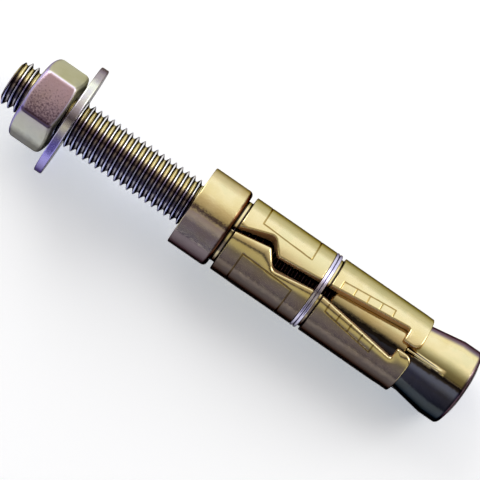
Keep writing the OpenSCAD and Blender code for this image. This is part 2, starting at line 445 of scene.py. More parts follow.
def stud_shape():
    """A rolled right-hand thread along the whole stud, chamfered at both ends."""
    depths = np.array([thread_depth_at(share) for share in THREAD_SHARES])
    first = STUD_TIP - THREAD_PITCH
    turns = math.ceil((STUD_TAIL - first) / THREAD_PITCH) + 1
    turn_rows = len(THREAD_SHARES)
    rows = turns * turn_rows
    row_x = np.concatenate([first + THREAD_PITCH * (n + THREAD_SHARES) for n in range(turns)])
    row_r = np.tile(THREAD_R - depths, turns)
    slope = STUD_CHAMFER_DEPTH / STUD_CHAMFER_LEN
    points = np.zeros((rows, THREAD_ANGLES, 3))
    for j in range(THREAD_ANGLES):
        turn = 2 * math.pi * j / THREAD_ANGLES
        x = np.clip(row_x + THREAD_PITCH * j / THREAD_ANGLES, STUD_TIP, STUD_TAIL)
        end_gap = np.minimum(x - STUD_TIP, STUD_TAIL - x)
        r = np.minimum(row_r, THREAD_R - STUD_CHAMFER_DEPTH + slope * end_gap)
        points[:, j] = np.stack([x, r * math.cos(turn), r * math.sin(turn)], axis=1)
    index = np.arange(rows * THREAD_ANGLES).reshape(rows, THREAD_ANGLES)
    following = np.full((rows, THREAD_ANGLES), -1)
    following[:, :-1] = index[:, 1:]
    following[:-turn_rows, -1] = index[turn_rows:, 0]
    faces = []
    for k in range(rows - 1):
        for j in range(THREAD_ANGLES):
            corner = following[k + 1, j]
            if corner >= 0 and following[k, j] >= 0:
                faces.append((index[k, j], index[k + 1, j], corner, following[k, j]))
    return points.reshape(-1, 3), faces


def nut_distance(points):
    """Hex nut with chamfered corners and a countersunk bore."""
    x = points[:, 0] - NUT_X - NUT_H / 2
    radius = off_axis(points)
    corners = HEX_HALF + 2 * HEX_HALF * np.arange(HEX_SIDES)
    corner_r = (NUT_AF / 2 - NUT_CORNER_ROUND) / math.cos(HEX_HALF)
    hexagon = corner_r * np.stack([np.sin(corners), np.cos(corners)], axis=1)
    sides = outline_distance(points[:, 1], points[:, 2], hexagon) - NUT_CORNER_ROUND
    above = np.abs(x) - NUT_H / 2
    face_r = NUT_AF / 2 - NUT_FACE_INSET * (x < 0)
    chamfer = (radius - face_r) * math.sin(NUT_CHAMFER) + above * math.cos(NUT_CHAMFER)
    ends = round_both(above, chamfer, NUT_EDGE_ROUND)
    block = round_both(sides, ends, NUT_EDGE_ROUND)
    mouth = (BORE_R + NUT_COUNTERSINK + above - radius) * math.cos(COUNTERSINK_ANGLE)
    bore = np.maximum(BORE_R - radius, mouth)
    return round_both(block, bore, INNER_EDGE)


def nut_shape():
    """The nut's points, faces and normals."""
    reach = NUT_AF / 2 / math.cos(HEX_HALF) + SCULPT_ROOM
    low = (NUT_X - SCULPT_ROOM, -reach, -reach)
    high = (NUT_X + NUT_H + SCULPT_ROOM, reach, reach)
    return sculpt(nut_distance, low, high, NUT_STEP)


def washer_shape():
    """A blanked washer that leans on the stud."""
    low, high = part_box("washer")
    centre = np.array((low + high) / 2) / MM
    outline = rounded([
        (-WASHER_T / 2, WASHER_HOLE_D / 2, INNER_EDGE),
        (-WASHER_T / 2, WASHER_D / 2, WASHER_EDGE),
        (WASHER_T / 2, WASHER_D / 2, WASHER_EDGE),
        (WASHER_T / 2, WASHER_HOLE_D / 2, INNER_EDGE),
    ])
    points, faces = turned(outline, WASHER_STEPS, WASHER_SPACING)
    lean = Matrix.Rotation(WASHER_TURN, 3, "Z") @ Matrix.Rotation(WASHER_LEAN, 3, "Y")
    return points @ np.array(lean).T + centre, faces


def ferrule_shape():
    """A drawn collar with its lower edge turned in over the segments' necks."""
    bore_r = FERRULE_R - FERRULE_WALL
    lip_r = bore_r - LIP_DEPTH
    outline = rounded([
        (0, bore_r, INNER_EDGE),
        (0, FERRULE_R, FERRULE_EDGE),
        (FERRULE_LEN, FERRULE_R, LIP_ROUND),
        (FERRULE_LEN, lip_r, INNER_EDGE),
        (FERRULE_LEN - LIP_T, lip_r, INNER_EDGE),
        (FERRULE_LEN - LIP_T, bore_r, INNER_EDGE),
    ])
    return turned(outline, FERRULE_STEPS, FERRULE_SPACING)


def shield_profile():
    """The shield's outline of (x, radius) before the seams part it."""
    cone_slope = (RIM_R - CONE_START_R) / (CONE_END - CONE_START)
    mouth_r = CONE_START_R + cone_slope * (SHIELD_END - CONE_START) + CONE_GAP
    head_r = FERRULE_R - FERRULE_WALL - HEAD_PLAY
    neck_r = head_r - LIP_DEPTH
    head_end = FERRULE_LEN - LIP_T - HEAD_PLAY
    pocket_r = STEM_R + CONE_GAP
    pocket_start = STEM_START - DRAW - EDGE_BREAK
    return rounded([
        (HEAD_SINK, HEAD_BORE_R, 0),
        (HEAD_SINK, head_r, SHOULDER_ROUND),
        (head_end, head_r, INNER_EDGE),
        (head_end, neck_r, 0),
        (SHOULDER_X, neck_r, INNER_EDGE),
        (SHOULDER_X, SHIELD_R, SHOULDER_ROUND),
        (GROOVE_START, SHIELD_R, GROOVE_EDGE),
        (GROOVE_START, GROOVE_R, 0),
        (GROOVE_END, GROOVE_R, 0),
        (GROOVE_END, SHIELD_R, GROOVE_EDGE),
        (SHIELD_END, SHIELD_R, END_ROUND),
        (SHIELD_END, mouth_r, 0),
        (CONE_START, CONE_START_R + CONE_GAP, 0),
        (STEM_START, pocket_r, 0),
        (pocket_start, pocket_r, 0),
        (pocket_start - POCKET_TAPER, HEAD_BORE_R, 0),
    ])


def seam_edge(side):
    """Half a seam's outline as (x, arc, corner radius) on the shield's outside, side 1 towards +Y."""
    neck_x = (FERRULE_LEN + SHOULDER_X) / 2
    slot = side * SLOT_GAP / 2 - SEAM_OFFSET / 2
    foot = side * FOOT_GAP / 2 - FOOT_OFFSET
    crest_round, root_round = (NOTCH_ROUND, TOOTH_ROUND) if side > 0 else (TOOTH_ROUND, NOTCH_ROUND)
    return [
        (HEAD_SINK, slot, 0),
        (neck_x, slot, 0),
        (CREST_X - side * CORNER_SKEW, side * CREST_GAP / 2 + CREST_SHIFT, crest_round),
        (ROOT_X - side * CORNER_SKEW, side * ROOT_GAP / 2 - ROOT_SHIFT, root_round),
        (GROOVE_MIDDLE, side * THROAT_GAP / 2, 0),
        (FOOT_START, side * VEE_GAP / 2 - SEAM_OFFSET, VEE_ROUND),
        (FOOT_START, foot, VEE_ROUND),
        (SHIELD_END, foot, FOOT_ROUND),
    ]


def segment_outline():
    """One segment's outline, unrolled: along one seam and back along the next."""
    back = [(x, arc + SEGMENT_ARC, radius) for x, arc, radius in reversed(seam_edge(-1))]
    return rounded(seam_edge(1) + back)


def stamped_strokes():
    """Stamped lines on a segment, unrolled: a framed bare panel, and a scale beside each wide slot."""
    near = PANEL_INSET
    far = SEGMENT_ARC - PANEL_INSET
    corners = [(PANEL_START, near), (PANEL_END, near), (PANEL_END, far), (PANEL_START, far)]
    strokes = [(corners[i - 1], corner) for i, corner in enumerate(corners)]
    marks = np.linspace(SCALE_START, SCALE_END, SCALE_MARKS)
    for side, seam in ((1, 0), (-1, SEGMENT_ARC)):
        throat = side * THROAT_GAP / 2
        mouth = side * VEE_GAP / 2 - SEAM_OFFSET
        share = (marks - GROOVE_MIDDLE) / (FOOT_START - GROOVE_MIDDLE)
        edge = seam + throat + (mouth - throat) * share
        line = edge + side * SCALE_INSET
        strokes.append(((marks[0], line[0]), (marks[-1], line[-1])))
        for x, start, stop in zip(marks, edge + side * MARK_INSET, line):
            strokes.append(((x, start), (x, stop)))
    return np.array(strokes)


PROFILE = shield_profile()
OUTLINE = segment_outline()
STROKES = stamped_strokes()


def stamp_cut(x, arc):
    """Depth of the stamped lines at places on a segment's outside."""
    slanted = arc - STAMP_SLANT * (x - (PANEL_START + PANEL_END) / 2) * (x < GROOVE_START)
    nearest = np.full(x.shape, np.inf)
    for a, b in STROKES:
        edge = b - a
        wx = x - a[0]
        wy = slanted - a[1]
        share = np.clip((wx * edge[0] + wy * edge[1]) / (edge @ edge), 0, 1)
        nearest = np.minimum(nearest, np.hypot(wx - edge[0] * share, wy - edge[1] * share))
    return STAMP_DEPTH * np.clip(1 - (2 * nearest / STAMP_WIDTH) ** 2, 0, 1) ** 2


def edge_roll(x, arc, walls):
    """How far the outside dips beside one seam and rises beside the other, fading towards the foot."""
    near_seam = np.clip(1 + walls / ROLL_WIDTH, 0, 1) ** ROLL_POWER
    near_end = np.clip((SHIELD_END - x) / ROLL_WIDTH, 0, 1)
    side = np.clip(ROLL_SPREAD * (arc / SEGMENT_ARC - 0.5), -1, 1)
    return near_seam * near_end * (ROLL_DEPTH * np.maximum(side, 0) + LIFT_HEIGHT * np.minimum(side, 0))


def segment_distance(points):
    """The first shield segment, from the seam at +Z towards +Y."""
    x = points[:, 0]
    radius = off_axis(points)
    arc = angle_of(points) * SHIELD_R
    walls = outline_distance(x, arc, OUTLINE) * np.minimum(radius / SHIELD_R, 1)
    outside = radius > (SHIELD_R + HEAD_BORE_R) / 2
    roll = edge_roll(x, arc, walls) * (x > SHOULDER_X)
    wall = outline_distance(x, radius + (stamp_cut(x, arc) + roll) * outside, PROFILE)
    bevel_depth = BEVEL_SLOPE * (1 - arc / BEVEL_WIDTH - (x - SHOULDER_X) / BEVEL_LENGTH) * BEVEL_WIDTH
    bevel = (radius - SHIELD_R + bevel_depth) / math.hypot(1, BEVEL_SLOPE)
    wall = np.where(x > SHOULDER_X - BEVEL_ROOM, round_both(wall, bevel, INNER_EDGE), wall)
    rise = np.clip((radius - HEAD_BORE_R) / (SHIELD_R - HEAD_BORE_R), 0, 1)
    edge = INNER_EDGE + (OUTER_EDGE - INNER_EDGE) * rise ** 2
    return round_both(wall, walls, edge)


def segment_shape():
    """The first segment's points, faces and normals."""
    low = (HEAD_SINK - SCULPT_ROOM, -SEAM_ROOM, -SHIELD_R)
    high = (SHIELD_END + SCULPT_ROOM, SHIELD_R + SCULPT_ROOM, SHIELD_R + SCULPT_ROOM)
    return sculpt(segment_distance, low, high, SCULPT_STEP)


EXPANDER_PROFILE = rounded([
    (STEM_START, BORE_R, 0),
    (STEM_START, STEM_R - EDGE_BREAK, 0),
    (STEM_START + EDGE_BREAK, STEM_R, 0),
    (CONE_START, CONE_START_R, 0),
    (CONE_END, RIM_R, 0),
    (EXPANDER_END - DOME_DEPTH, RIM_R, RIM_ROUND),
    (EXPANDER_END, DOME_R, 0),
    (EXPANDER_END, BORE_R + EDGE_BREAK, 0),
    (EXPANDER_END - EDGE_BREAK, BORE_R, 0),
])
RIB_SECTION = np.array([
    (-RIB_BASE / 2, RIB_ROOT_R),
    (RIB_BASE / 2, RIB_ROOT_R),
    (RIB_TOP / 2, RIB_R),
    (-RIB_TOP / 2, RIB_R),
])


def expander_distance(points):
    """The coned expander with its anti-turn ribs, one for each seam."""
    x = points[:, 0]
    radius = off_axis(points)
    body = outline_distance(x, radius, EXPANDER_PROFILE)
    turn = angle_of(points) + FOOT_OFFSET / SHIELD_R
    turn = np.mod(turn + SEGMENT_ANGLE / 2, SEGMENT_ANGLE) - SEGMENT_ANGLE / 2
    section = outline_distance(radius * np.sin(turn), radius * np.cos(turn), RIB_SECTION)
    length = np.maximum(RIB_START - x, x - RIB_END)
    rib = round_both(section, length, RIB_TOP / 2)
    return round_either(body, rib, RIB_FILLET)


def expander_shape():
    """The expander's points, faces and normals."""
    reach = RIM_R + SCULPT_ROOM
    low = (STEM_START - SCULPT_ROOM, -reach, -reach)
    high = (EXPANDER_END + SCULPT_ROOM, reach, reach)
    return sculpt(expander_distance, low, high, EXPANDER_STEP)


def wire_x(turn):
    """Place along the axis of the ring's wire, wound twice round with a jog between the turns."""
    share = np.clip((turn - (2 * math.pi - WIRE_JOG)) / WIRE_JOG, 0, 1)
    return WIRE_X + WIRE_PITCH * (1 - np.cos(math.pi * share)) / 2


def wire_shape(start, stop):
    """A stretch of the ring's wire between two angles of its winding, thinner where it laps others."""
    stations = np.linspace(start - ARC_LAP, stop + ARC_LAP, WIRE_STATIONS)
    stations = stations[(stations >= 0) & (stations <= WIRE_SPAN)]
    around_wire = np.linspace(0, 2 * math.pi, WIRE_SIDES, endpoint=False)
    points = []
    for turn in stations:
        lapped = turn < start or turn > stop
        wire_r = WIRE_D / 2 * (LAP_THINNING if lapped else 1)
        angle = turn + math.pi
        radius = WIRE_R + wire_r * np.cos(around_wire)
        x = wire_x(turn) + wire_r * np.sin(around_wire)
        points.append(np.stack([x, radius * math.sin(angle), radius * math.cos(angle)], axis=1))
    index = np.arange(len(stations) * WIRE_SIDES).reshape(-1, WIRE_SIDES)
    faces = []
    for here, there in zip(index, index[1:]):
        for k in range(WIRE_SIDES):
            after = (k + 1) % WIRE_SIDES
            faces.append((here[k], here[after], there[after], there[k]))
    return np.concatenate(points), faces + [index[0], index[-1]]


def ring_arc_shape(number):
    """The stretches of the ring's wire that lie on one segment."""
    points = np.zeros((0, 3))
    faces = []
    for winding in range(WIRE_PASSES):
        start = number * SEGMENT_ANGLE + math.pi * (2 * winding - 1)
        stop = min(start + SEGMENT_ANGLE, WIRE_SPAN)
        if stop > max(start, 0):
            arc_points, arc_faces = wire_shape(max(start, 0), stop)
            faces += [[i + len(points) for i in face] for face in arc_faces]
            points = np.concatenate([points, arc_points])
    return points, faces


# Parts of a material

EDGE_TINT = (0.1, 0.08, 0.07)
OFF_AXIS = (0, 1, 1)
DRIFT_SCALE = 160
DRIFT_DETAIL = 4
DRIFT_STOPS = (0.35, 0.5, 0.65)
GRAIN_SCALE = 1800
GRAIN_DETAIL = 3
GRAIN_HEIGHT = 0.0001
GLOSS_SPREAD = 0.06
RAGGED_SCALE = 700
WALL_FACING = 0.2
OUTSIDE_FACING = 0.6


def add_node(tree, kind, values=None, operation=None):
    """A new node, with constant values on some of its inputs."""
    node = tree.nodes.new(kind)
    if operation is not None:
        node.operation = operation
    for socket, value in (values or {}).items():
        node.inputs[socket].default_value = value
    return node


def noise(tree, place, scale, detail):
    """Noise over a place, from about 0 to 1."""
    texture = add_node(tree, "ShaderNodeTexNoise", {"Scale": scale, "Detail": detail})
    tree.links.new(place, texture.inputs["Vector"])
    return texture.outputs["Fac"]


def span(tree, value, start, stop):
    """A value as 0 at a start and 1 at a stop, and level beyond them."""
    spread = add_node(tree, "ShaderNodeMapRange", {"From Min": start, "From Max": stop})
    tree.links.new(value, spread.inputs["Value"])
    return spread.outputs["Result"]


def scaled(tree, value, low, high):
    """A value from 0 to 1 as one between two others."""
    spread = add_node(tree, "ShaderNodeMapRange", {"To Min": low, "To Max": high})
    tree.links.new(value, spread.inputs["Value"])
    return spread.outputs["Result"]


def combined(tree, operation, one, other):
    """The sum or product of two values."""
    result = add_node(tree, "ShaderNodeMath", operation=operation)
    tree.links.new(one, result.inputs[0])
    tree.links.new(other, result.inputs[1])
    return result.outputs["Value"]


def colour_ramp(tree, value, stops):
    """Colours that a value runs through, from (position, colour) stops."""
    ramp = tree.nodes.new("ShaderNodeValToRGB")
    elements = ramp.color_ramp.elements
    elements[0].position = stops[0][0]
    elements[0].color = (*stops[0][1], 1)
    elements[1].position = stops[-1][0]
    elements[1].color = (*stops[-1][1], 1)
    for position, colour in stops[1:-1]:
        elements.new(position).color = (*colour, 1)
    tree.links.new(value, ramp.inputs["Fac"])
    return ramp.outputs["Color"]


def plated(name, colours, roughness, grain):
    """Passivated zinc plate: colours that drift over the surface, a fine grain and uneven gloss."""
    material = bpy.data.materials.new(name)
    material.use_nodes = True
    tree = material.node_tree
    shader = tree.nodes["Principled BSDF"]
    shader.inputs["Metallic"].default_value = 1
    shader.inputs["Specular Tint"].default_value = (*EDGE_TINT, 1)
    place = tree.nodes.new("ShaderNodeTexCoord").outputs["Object"]
    drift = noise(tree, place, DRIFT_SCALE, DRIFT_DETAIL)
    colour = colour_ramp(tree, drift, tuple(zip(DRIFT_STOPS, colours)))
    tree.links.new(colour, shader.inputs["Base Color"])
    fine = noise(tree, place, GRAIN_SCALE, GRAIN_DETAIL)
    gloss = scaled(tree, fine, roughness - GLOSS_SPREAD, roughness + GLOSS_SPREAD)
    tree.links.new(gloss, shader.inputs["Roughness"])
    bump = add_node(tree, "ShaderNodeBump", {"Strength": grain, "Distance": GRAIN_HEIGHT})
    tree.links.new(fine, bump.inputs["Height"])
    tree.links.new(bump.outputs["Normal"], shader.inputs["Normal"])
    return material


def tint(material, value, stops, amount=None):
    """Multiplies a material's colour by a ramp that a value runs along, everywhere or by an amount."""
    tree = material.node_tree
    base = tree.nodes["Principled BSDF"].inputs["Base Color"]
    mix = tree.nodes.new("ShaderNodeMix")
    mix.data_type = "RGBA"
    mix.blend_type = "MULTIPLY"
    mix.inputs["Factor"].default_value = 1
    colours = [socket for socket in mix.inputs if socket.type == "RGBA"]
    tree.links.new(base.links[0].from_socket, colours[0])
    tree.links.new(colour_ramp(tree, value, stops), colours[1])
    if amount is not None:
        tree.links.new(amount, mix.inputs["Factor"])
    result = next(socket for socket in mix.outputs if socket.type == "RGBA")
    tree.links.new(result, base)


def across_axis(tree):
    """The part of the surface's place that lies across the bolt's axis."""
    place = tree.nodes.new("ShaderNodeTexCoord")
    flat = add_node(tree, "ShaderNodeVectorMath", {1: OFF_AXIS}, "MULTIPLY")
    tree.links.new(place.outputs["Object"], flat.inputs[0])
    return flat.outputs["Vector"]


def from_axis(material, inner, outer):
    """Distance from the bolt's axis as 0 at an inner radius and 1 at an outer one, in millimetres."""
    tree = material.node_tree
    length = add_node(tree, "ShaderNodeVectorMath", operation="LENGTH")
    tree.links.new(across_axis(tree), length.inputs[0])
    return span(tree, length.outputs["Value"], inner * MM, outer * MM)


def along(material, axis, start, stop, ragged=0, grain=RAGGED_SCALE):
    """Place along an axis as 0 at a start and 1 at a stop, in millimetres, shifted by a ragged noise."""
    tree = material.node_tree
    place = tree.nodes.new("ShaderNodeTexCoord").outputs["Object"]
    split = tree.nodes.new("ShaderNodeSeparateXYZ")
    tree.links.new(place, split.inputs["Vector"])
    shift = scaled(tree, noise(tree, place, grain, GRAIN_DETAIL), -ragged * MM, ragged * MM)
    return span(tree, combined(tree, "ADD", split.outputs[axis], shift), start * MM, stop * MM)


def facing(material, axis, start, stop):
    """One part of the surface's own normal, as 0 at a start and 1 at a stop."""
    tree = material.node_tree
    place = tree.nodes.new("ShaderNodeTexCoord")
    split = tree.nodes.new("ShaderNodeSeparateXYZ")
    tree.links.new(place.outputs["Normal"], split.inputs["Vector"])
    return span(tree, split.outputs[axis], start, stop)


def facing_out(material):
    """How squarely the surface faces away from the axis, as 1 for an outside and 0 for a cut wall."""
    tree = material.node_tree
    place = tree.nodes.new("ShaderNodeTexCoord")
    outward = add_node(tree, "ShaderNodeVectorMath", operation="NORMALIZE")
    agree = add_node(tree, "ShaderNodeVectorMath", operation="DOT_PRODUCT")
    tree.links.new(across_axis(tree), outward.inputs[0])
    tree.links.new(outward.outputs["Vector"], agree.inputs[0])
    tree.links.new(place.outputs["Normal"], agree.inputs[1])
    return agree.outputs["Value"]


def both(material, one, other):
    """Product of two amounts."""
    return combined(material.node_tree, "MULTIPLY", one, other)


def stamped(material):
    """Depth of the stamped lines, as 1 where they are deepest."""
    mark = material.node_tree.nodes.new("ShaderNodeAttribute")
    mark.attribute_name = STAMP_ATTRIBUTE
    return mark.outputs["Fac"]


def roughen_walls(material, extra):
    """Adds roughness where the surface is a cut wall."""
    tree = material.node_tree
    roughness = tree.nodes["Principled BSDF"].inputs["Roughness"]
    outside = span(tree, facing_out(material), WALL_FACING, OUTSIDE_FACING)
    added = scaled(tree, outside, extra, 0)
    tree.links.new(combined(tree, "ADD", roughness.links[0].from_socket, added), roughness)


# Materials, each a plate of three colours under tints that multiply them, most of which are painted
# light and shade

GOLD = ((0.80, 0.68, 0.34), (0.84, 0.73, 0.40), (0.78, 0.70, 0.38))
OLIVE = ((0.74, 0.73, 0.50), (0.80, 0.79, 0.58), (0.72, 0.72, 0.56))
SILVER = ((0.62, 0.62, 0.66), (0.68, 0.69, 0.64), (0.60, 0.58, 0.70))
BLUE_STEEL = ((0.60, 0.58, 0.78), (0.68, 0.66, 0.84), (0.58, 0.60, 0.74))

PLAIN = (1, 1, 1)
# Painted shade, near black, for recesses, the neck and the thread's flanks
PAINTED_BLACK_SHADE = (0.05, 0.045, 0.06)
VIOLET_SHADE = (0.36, 0.33, 0.7)
CUT_WALL_PINK = (0.98, 0.8, 0.92)
STAMP_DARKENING = (0.48, 0.40, 0.25)
UPPER_EDGE_SHADE = (0.66, 0.67, 0.62)
# Painted shade on the shield's -Y side, deepest at its lower edge
HALF_SHADE = (0.56, 0.54, 0.63)
SHADE = (0.24, 0.22, 0.33)
DEEP_SHADE = (0.125, 0.115, 0.195)
CREST_GLINT = (2.0, 2.2, 4.0)
STUD_INSIDE_SHADE = (0.1, 0.07, 0.06)
STUD_BLUE_SHADE = (0.42, 0.46, 1.0)
STUD_GREY_SHADE = (0.45, 0.43, 0.58)
LIP_SHADE = (0.14, 0.065, 0.05)
FERRULE_SHADE_LINE = (0.5, 0.42, 0.6)
FERRULE_TOP_SHADE = (0.78, 0.75, 0.76)
SLATE = (0.20, 0.26, 0.86)
MID_SLATE = (0.18, 0.22, 0.40)
DARK_SLATE = (0.055, 0.075, 0.16)
RIB_SHADOW = (0.06, 0.055, 0.1)
OLIVE_SHADE = (0.36, 0.37, 0.3)
PALE_OLIVE_SHADE = (0.55, 0.6, 0.55)
STEM_SHADE = (0.25, 0.22, 0.2)
RIM_SHADE = (0.16, 0.12, 0.26)
BEVEL_HIGHLIGHT = (1.15, 1.1, 1.7)
END_BEVEL_REFLECTION = (0.8, 0.72, 1.5)
LOWER_BEVEL_SHADE = (0.38, 0.33, 0.36)
ROSE_REFLECTION = (0.74, 0.57, 0.88)
SPECKLE = (0.42, 0.39, 0.44)

CONE_FADE = 2
RIB_FADE = 0.3
RIM_TINT_START = 1.2
RIM_TINT_FULL = 0.4

# Painted shade and bluish painted reflection on the ferrule towards -Y
FERRULE_PAINTED_SHADE = (
    (0.0, (0.195, 0.18, 0.36)),
    (0.14, (0.24, 0.22, 0.43)),
    (0.2, (0.51, 0.52, 0.80)),
    (0.3, (0.77, 0.82, 1.02)),
    (0.46, (0.87, 0.87, 1.3)),
    (0.62, (0.78, 0.80, 1.6)),
    (0.8, (0.62, 0.60, 1.35)),
    (1.0, PLAIN),
)
# Painted light and shade on the nut along Y
NUT_LIGHT_AND_SHADE = (
    (0.05, (0.27, 0.27, 0.35)),
    (0.1, (0.70, 0.72, 0.88)),
    (0.2, (0.65, 0.65, 0.83)),
    (0.26, (0.6, 0.55, 0.85)),
    (0.31, (0.75, 0.75, 0.8)),
    (0.5, (1.0, 0.98, 1.0)),
    (0.7, (1.15, 1.1, 1.15)),
    (0.78, (0.78, 0.77, 0.71)),
)
# Painted light and shade on the washer's rim along Y
WASHER_RIM_LIGHT_AND_SHADE = (
    (0.0, (0.45, 0.4, 0.8)),
    (0.2, (0.7, 0.64, 1.55)),
    (0.36, (1.3, 1.3, 1.5)),
    (0.44, (0.45, 0.4, 0.45)),
    (0.55, PLAIN),
    (0.78, (1.25, 1.25, 1.05)),
    (0.85, (0.62, 0.55, 0.58)),
)


def band(rise, full, fall, end, colour):
    """Stops of a ramp that is plain, then of one colour, then plain again."""
    return (rise, PLAIN), (full, colour), (fall, colour), (end, PLAIN)


def shield_plate():
    """Gold, with reddish cut walls, darker stamped lines, painted shade in the neck and at the groove's
    edges, and painted shade towards -Y and along the +Y edge.
    """
    zinc = plated("shield_zinc", GOLD, roughness=0.18, grain=0.12)
    # Cut walls tinted pinker.
    tint(zinc, facing_out(zinc), ((0.1, CUT_WALL_PINK), (0.6, PLAIN)))
    # Stamped lines made darker.
    tint(zinc, stamped(zinc), ((0.0, PLAIN), (0.5, STAMP_DARKENING)))
    # Painted shade: black bands in the neck between the ferrule and the shoulder, and at the edges of
    # the ring's groove.
    tint(zinc, along(zinc, "X", FERRULE_LEN, SHOULDER_X),
         ((0.2, PAINTED_BLACK_SHADE), (0.3, PLAIN), *band(0.65, 0.75, 0.98, 1.0, PAINTED_BLACK_SHADE)))
    tint(zinc, along(zinc, "X", GROOVE_START, GROOVE_END),
         (*band(0.0, 0.03, 0.12, 0.16, PAINTED_BLACK_SHADE), *band(0.82, 0.86, 0.98, 1.0, PAINTED_BLACK_SHADE)))
    # Painted shade: darker towards -Y, deepest at the lower edge.
    tint(zinc, along(zinc, "Y", start=-9.2, stop=-5.2, ragged=0.5),
         ((0.0, DEEP_SHADE), (0.2, DEEP_SHADE), (0.42, SHADE), (0.6, HALF_SHADE), (1.0, PLAIN)))
    # Painted shade along the +Y edge.
    tint(zinc, along(zinc, "Y", start=6, stop=9, ragged=0.3), ((0.0, PLAIN), (0.35, UPPER_EDGE_SHADE)))
    roughen_walls(zinc, extra=0.35)
    return zinc


def stud_plate():
    """Gold roots, flanks in painted black shade and crests with a painted highlight, painted shade
    inside the shield and a bluer painted shade towards -Y.
    """
    zinc = plated("stud_zinc", GOLD, roughness=0.2, grain=0.06)
    # Painted shade on the thread's flanks and a painted highlight on its crests.
    tint(zinc, from_axis(zinc, THREAD_R - THREAD_DEPTH, THREAD_R),
         ((0.2, PLAIN), (0.32, PAINTED_BLACK_SHADE), (0.7, PAINTED_BLACK_SHADE), (0.85, CREST_GLINT)))
    # Painted shade where the stud runs inside the shield.
    tint(zinc, along(zinc, "X", FERRULE_LEN, SHOULDER_X), ((0.0, PLAIN), (1.0, STUD_INSIDE_SHADE)))
    # Painted shade, bluer and darker towards -Y.
    tint(zinc, along(zinc, "Y", start=-3, stop=2.2),
         ((0.0, STUD_BLUE_SHADE), (0.44, VIOLET_SHADE), (0.7, STUD_GREY_SHADE), (1.0, PLAIN)))
    return zinc


def ferrule_plate():
    """Gold, with painted shade on the lip, a speckled dark line of painted shade along its middle,
    painted shade and bluish painted reflection towards -Y, and painted shade along the +Y edge.
    """
    zinc = plated("ferrule_zinc", GOLD, roughness=0.2, grain=0.25)
    # Painted shade on the rounded lip.
    tint(zinc, along(zinc, "X", FERRULE_LEN - LIP_ROUND, FERRULE_LEN, ragged=0.2),
         ((0.0, PLAIN), (0.35, LIP_SHADE)))
    # Painted shade and bluish painted reflection towards -Y.
    tint(zinc, along(zinc, "Y", start=-9, stop=-1, ragged=0.5), FERRULE_PAINTED_SHADE)
    # Painted shade along the +Y edge.
    tint(zinc, along(zinc, "Y", start=6, stop=9, ragged=0.3), ((0.15, PLAIN), (0.5, FERRULE_TOP_SHADE)))
    # Painted shade: a speckled dark line just below the middle.
    tint(zinc, along(zinc, "Y", start=-2.6, stop=-0.2, ragged=1.4, grain=2500),
         band(0.25, 0.45, 0.55, 0.75, FERRULE_SHADE_LINE))
    return zinc


def expander_plate():
    """Gold, with painted slate shade towards -Y, a painted shadow as a dark line beside the rib, painted
    olive shade round it, a painted violet shade on the +Y edge, and painted shade on the stem and the
    rim.
    """
    zinc = plated("expander_zinc", GOLD, roughness=0.16, grain=0.1)
    flanks = facing(zinc, "X", start=0.8, stop=0.3)
    # Painted shade: slate towards -Y, with a painted shadow just under the rib.
    tint(zinc, along(zinc, "Y", start=-9, stop=-0.6, ragged=0.5),
         ((0.25, DARK_SLATE), (0.5, MID_SLATE), (0.7, SLATE), (0.78, SLATE),
          (0.83, RIB_SHADOW), (0.92, RIB_SHADOW), (0.96, PLAIN)), flanks)
    # Painted shade: dull olive on the cone above the rib.
    tint(zinc, along(zinc, "Y", start=0, stop=4, ragged=0.1),
         ((0.05, PLAIN), (0.1, OLIVE_SHADE), (0.35, PALE_OLIVE_SHADE), (0.8, PLAIN)),
         both(zinc, flanks, along(zinc, "X", CONE_START, CONE_START + CONE_FADE)))
    # Painted shade where the rib runs out.
    tint(zinc, along(zinc, "Y", start=-1.2, stop=0.5, ragged=0.1),
         band(0.1, 0.2, 0.85, 0.95, OLIVE_SHADE),
         both(zinc, flanks, along(zinc, "X", RIB_END - RIB_FADE, RIB_END + RIB_FADE)))
    # Painted shade on the +Y edge.
    tint(zinc, facing(zinc, "Y", start=0.74, stop=0.82), ((0.0, PLAIN), (1.0, VIOLET_SHADE)))
    # Painted shade on the lower side of the stem.
    tint(zinc, along(zinc, "Y", start=-2.5, stop=0.5, ragged=0.5), ((0.0, STEM_SHADE), (1.0, PLAIN)),
         along(zinc, "X", CONE_START, FOOT_START))
    # Painted shade on the rim's rounding.
    tint(zinc, along(zinc, "X", EXPANDER_END - DOME_DEPTH - RIM_ROUND, EXPANDER_END),
         ((0.05, PLAIN), (0.3, RIM_SHADE)))
    return zinc


